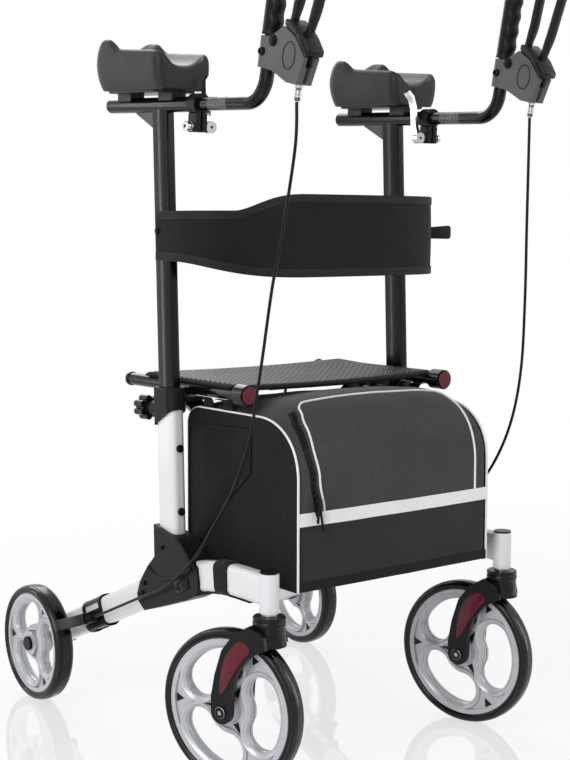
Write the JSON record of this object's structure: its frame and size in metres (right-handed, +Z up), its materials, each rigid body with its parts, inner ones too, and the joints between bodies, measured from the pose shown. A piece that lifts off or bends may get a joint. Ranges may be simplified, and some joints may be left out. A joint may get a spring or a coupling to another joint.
{
  "type": "upright walker",
  "caption": "Upright folding walker with forearm supports, upright handles with loop brakes, caster front wheels, a sling seat, a back belt and a carry bag under the seat.",
  "frame": {"origin": "on the floor, below the middle of the object's bounding box", "axes": "+Z up; -Y is the way the user walks, towards the front casters; +X is the user's left"},
  "size_m": [0.681, 0.8742, 1.2987],
  "materials": {
    "white_frame": "satin white paint",
    "charcoal": "moulded charcoal",
    "black_plastic": "moulded black",
    "grey_plastic": "moulded mid grey",
    "silver_plastic": "silver grey, glossy",
    "black_tube": "satin black coat",
    "pad_foam": "moulded dark grey foam",
    "clamp_steel": "black",
    "bright_steel": "polished",
    "plain_steel": "plain",
    "dark_steel": "black",
    "grip_rubber": "ribbed black",
    "cable_sleeve": "smooth black sleeve",
    "reflector": "dark red",
    "tyre": "solid black tyre",
    "mesh_cloth": "woven mesh",
    "bag_cloth": "woven charcoal cloth with pale piping",
    "belt_cloth": "padded near-black cloth"
  },
  "bodies": {
    "right_frame": {"right_leg_tube": "white_frame", "right_upright_tube": "white_frame", "right_hinge_block": "charcoal", "right_upper_collar": "charcoal", "right_wheel_brake": "black_plastic", "right_frame_fasteners": "dark_steel", "right_brake_cable": "cable_sleeve", "carry_bag": "bag_cloth"},
    "left_frame": {"left_leg_tube": "white_frame", "left_upright_tube": "white_frame", "left_hinge_block": "charcoal", "left_upper_collar": "charcoal", "left_wheel_brake": "black_plastic", "left_frame_fasteners": "dark_steel", "left_brake_cable": "cable_sleeve"},
    "left_brace": {"left_cross_brace": "black_tube", "left_seat_reflector": "reflector", "cross_pivot": "plain_steel"},
    "right_brace": {"right_cross_brace": "black_tube", "right_seat_reflector": "reflector", "seat_sling": "mesh_cloth"},
    "right_mast": {"right_mast_tube": "black_tube", "right_arm_tube": "black_tube", "right_pad_plate": "black_plastic", "right_arm_pad": "pad_foam", "right_reach_clamp": "clamp_steel", "back_belt": "belt_cloth"},
    "right_handle": {"right_handle_tube": "black_tube", "right_lever_housing": "grey_plastic", "right_grip": "grip_rubber"},
    "right_brake_lever": {"right_brake_lever": "black_plastic"},
    "right_brake_shoe": {"right_brake_shoe": "black_plastic"},
    "right_clamp_lever": {"right_clamp_lever": "bright_steel"},
    "right_height_knob": {"right_height_knob": "black_plastic"},
    "right_caster": {"right_caster_fork": "black_plastic", "right_fork_reflectors": "reflector", "right_fork_hardware": "plain_steel"},
    "right_front_wheel": {"right_front_tyre": "tyre", "right_front_rim": "silver_plastic"},
    "right_rear_wheel": {"right_rear_tyre": "tyre", "right_rear_rim": "silver_plastic"},
    "left_mast": {"left_mast_tube": "black_tube", "left_arm_tube": "black_tube", "left_pad_plate": "black_plastic", "left_arm_pad": "pad_foam", "left_reach_clamp": "clamp_steel"},
    "left_handle": {"left_handle_tube": "black_tube", "left_lever_housing": "grey_plastic", "left_grip": "grip_rubber"},
    "left_brake_lever": {"left_brake_lever": "black_plastic"},
    "left_brake_shoe": {"left_brake_shoe": "black_plastic"},
    "left_clamp_lever": {"left_clamp_lever": "bright_steel"},
    "left_height_knob": {"left_height_knob": "black_plastic"},
    "left_caster": {"left_caster_fork": "black_plastic", "left_fork_reflectors": "reflector", "left_fork_hardware": "plain_steel"},
    "left_front_wheel": {"left_front_tyre": "tyre", "left_front_rim": "silver_plastic"},
    "left_rear_wheel": {"left_rear_tyre": "tyre", "left_rear_rim": "silver_plastic"}
  },
  "joints": [
    {"name": "fold", "type": "hinge", "parent": "right_frame", "child": "left_brace", "pos_m": [-0.217, 0.008, 0.272], "axis": [0, -1, 0], "range_deg": [0, 36], "deforming": ["seat_sling", "carry_bag", "back_belt"]},
    {"name": "fold_cross", "type": "hinge", "parent": "left_brace", "child": "right_brace", "pos_m": [0, 0.0165, 0.4425], "axis": [0, -1, 0], "range_deg": [-72, 0]},
    {"name": "fold_left", "type": "hinge", "parent": "right_brace", "child": "left_frame", "pos_m": [0.217, 0.025, 0.272], "axis": [0, -1, 0], "range_deg": [0, 36]},
    {"name": "right_height", "type": "slide", "parent": "right_frame", "child": "right_mast", "axis": [0, 0.0349, 0.9994], "range_m": [-0.15, 0.03], "deforming": ["right_brake_cable"]},
    {"name": "right_reach", "type": "slide", "parent": "right_mast", "child": "right_handle", "axis": [0.0209, -0.9984, -0.0523], "range_m": [-0.07, 0.06], "deforming": ["right_brake_cable"]},
    {"name": "right_brake_pull", "type": "hinge", "parent": "right_handle", "child": "right_brake_lever", "pos_m": [-0.25156, -0.32452, 1.15955], "axis": [-0.9998, -0.0209, 0], "range_deg": [0, 14], "stiffness_Nm_per_rad": 1.5},
    {"name": "right_shoe_slide", "type": "slide", "parent": "right_frame", "child": "right_brake_shoe", "axis": [0, 0.915, -0.4035], "range_m": [0, 0.0025]},
    {"name": "right_clamp_open", "type": "hinge", "parent": "right_mast", "child": "right_clamp_lever", "pos_m": [-0.23202, -0.11146, 1.04497], "axis": [-0.0209, 0.9984, 0.0523], "range_deg": [0, 100]},
    {"name": "right_knob_turn", "type": "hinge", "parent": "right_frame", "child": "right_height_knob", "pos_m": [-0.258, 0.01405, 0.5764], "axis": [0, 0.9994, -0.0349], "range_deg": [0, 540]},
    {"name": "right_swivel", "type": "hinge", "parent": "right_frame", "child": "right_caster", "pos_m": [-0.258, -0.306, 0.289], "axis": [0, 0, 1], "continuous": true},
    {"name": "right_front_spin", "type": "hinge", "parent": "right_caster", "child": "right_front_wheel", "pos_m": [-0.28046, -0.24076, 0.127], "axis": [0.9455, 0.3256, 0], "continuous": true},
    {"name": "right_rear_spin", "type": "hinge", "parent": "right_frame", "child": "right_rear_wheel", "pos_m": [-0.316, 0.33, 0.107], "axis": [1, 0, 0], "continuous": true},
    {"name": "left_height", "type": "slide", "parent": "left_frame", "child": "left_mast", "axis": [0, 0.0349, 0.9994], "range_m": [-0.15, 0.03], "deforming": ["left_brake_cable"]},
    {"name": "left_reach", "type": "slide", "parent": "left_mast", "child": "left_handle", "axis": [-0.0209, -0.9984, -0.0523], "range_m": [-0.07, 0.06], "deforming": ["left_brake_cable"]},
    {"name": "left_brake_pull", "type": "hinge", "parent": "left_handle", "child": "left_brake_lever", "pos_m": [0.25156, -0.32452, 1.15955], "axis": [-0.9998, 0.0209, 0], "range_deg": [0, 14], "stiffness_Nm_per_rad": 1.5},
    {"name": "left_shoe_slide", "type": "slide", "parent": "left_frame", "child": "left_brake_shoe", "axis": [0, 0.915, -0.4035], "range_m": [0, 0.0025]},
    {"name": "left_clamp_open", "type": "hinge", "parent": "left_mast", "child": "left_clamp_lever", "pos_m": [0.23202, -0.11146, 1.04497], "axis": [-0.0209, -0.9984, -0.0523], "range_deg": [0, 100]},
    {"name": "left_knob_turn", "type": "hinge", "parent": "left_frame", "child": "left_height_knob", "pos_m": [0.258, 0.01405, 0.5764], "axis": [0, 0.9994, -0.0349], "range_deg": [0, 540]},
    {"name": "left_swivel", "type": "hinge", "parent": "left_frame", "child": "left_caster", "pos_m": [0.258, -0.306, 0.289], "axis": [0, 0, 1], "continuous": true},
    {"name": "left_front_spin", "type": "hinge", "parent": "left_caster", "child": "left_front_wheel", "pos_m": [0.24131, -0.23905, 0.127], "axis": [0.9703, 0.2419, 0], "continuous": true},
    {"name": "left_rear_spin", "type": "hinge", "parent": "left_frame", "child": "left_rear_wheel", "pos_m": [0.316, 0.33, 0.107], "axis": [1, 0, 0], "continuous": true}
  ],
  "couplings": [
    {"joint": "fold_cross", "follows": "fold", "ratio": -2},
    {"joint": "fold_left", "follows": "fold", "ratio": 1},
    {"joint": "right_shoe_slide", "follows": "right_brake_pull", "m_per_rad": 0.01023},
    {"joint": "left_shoe_slide", "follows": "left_brake_pull", "m_per_rad": 0.01023},
    {"joint": "left_height", "follows": "right_height", "ratio": 1}
  ]
}
